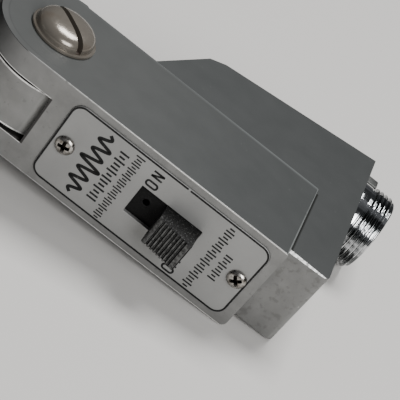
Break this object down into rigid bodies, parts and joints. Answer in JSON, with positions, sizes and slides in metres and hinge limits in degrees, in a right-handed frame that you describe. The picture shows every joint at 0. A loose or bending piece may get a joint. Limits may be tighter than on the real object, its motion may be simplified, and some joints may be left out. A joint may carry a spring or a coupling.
{
  "type": "dynamic microphone",
  "caption": "Flat metal microphone with a slide switch and a threaded cable connector on its handle, and a slotted head that tilts in the handle's fork.",
  "frame": {"origin": "on the cable connector's axis, at the handle's end face", "axes": "+X out of the connector, along the handle away from the head; -Y out of the nameplate's front; +Z the microphone's right side, which is up as it lies on its left side"},
  "size_m": [0.144, 0.0566, 0.036],
  "materials": {
    "painted_casting": "satin grey enamel, bare at the front",
    "bare_casting": "satin, lightly worn",
    "plate_aluminium": "satin",
    "nickel_screw": "polished nickel",
    "bronze_nickel": "worn nickel plate over brass",
    "black_knob": "ridged",
    "tinned_steel": "tinned",
    "phenolic": "laminate",
    "brass_contact": "plain",
    "core_iron": "laminated",
    "winding": "varnished winding",
    "chrome_connector": "polished",
    "black_insulator": "moulded",
    "black_collar": "moulded",
    "head_enamel": "satin grey enamel",
    "grille_metal": "satin chrome",
    "mesh_wire": "woven",
    "cloth": "woven",
    "rubber": "moulded",
    "capsule_metal": "turned",
    "film": "clear film",
    "copper": "enamelled copper",
    "magnet_metal": "ground"
  },
  "bodies": {
    "handle": {"fork_body": "painted_casting", "base_housing": "painted_casting", "housing_screws": "nickel_screw", "nameplate": "plate_aluminium", "nameplate_screws": "nickel_screw", "switch_frame": "tinned_steel", "switch_board": "phenolic", "switch_terminals": "brass_contact", "switch_screws": "tinned_steel", "transformer_core": "core_iron", "transformer_coil": "winding", "transformer_strap": "tinned_steel", "connector_shell": "chrome_connector", "connector_nut": "chrome_connector", "connector_insulator": "black_insulator", "connector_contacts": "brass_contact", "connector_key": "bare_casting", "pivot_screw_right": "bronze_nickel", "pivot_screw_left": "bronze_nickel", "pivot_washer_right": "tinned_steel", "pivot_washer_left": "tinned_steel"},
    "knob": {"switch_knob": "black_knob", "switch_contact": "brass_contact"},
    "head": {"head_neck": "bare_casting", "neck_collar": "black_collar", "head_rear_shell": "head_enamel", "head_front_frame": "bare_casting", "head_screws": "nickel_screw", "neck_screws": "tinned_steel", "grille": "grille_metal", "grille_mesh": "mesh_wire", "wind_cloth": "cloth", "capsule_case": "capsule_metal", "capsule_ring": "rubber", "capsule_cover": "capsule_metal", "diaphragm": "film", "voice_coil": "copper", "top_plate": "core_iron", "magnet": "magnet_metal", "pole_piece": "core_iron"}
  },
  "joints": [
    {"name": "head_tilt", "type": "hinge", "parent": "handle", "child": "head", "pos_m": [-0.0582, -0.0288, 0], "axis": [0, 0, 1], "range_deg": [-40, 60]},
    {"name": "switch_slide", "type": "slide", "parent": "handle", "child": "knob", "axis": [-1, 0, 0], "range_m": [0, 0.005]}
  ]
}
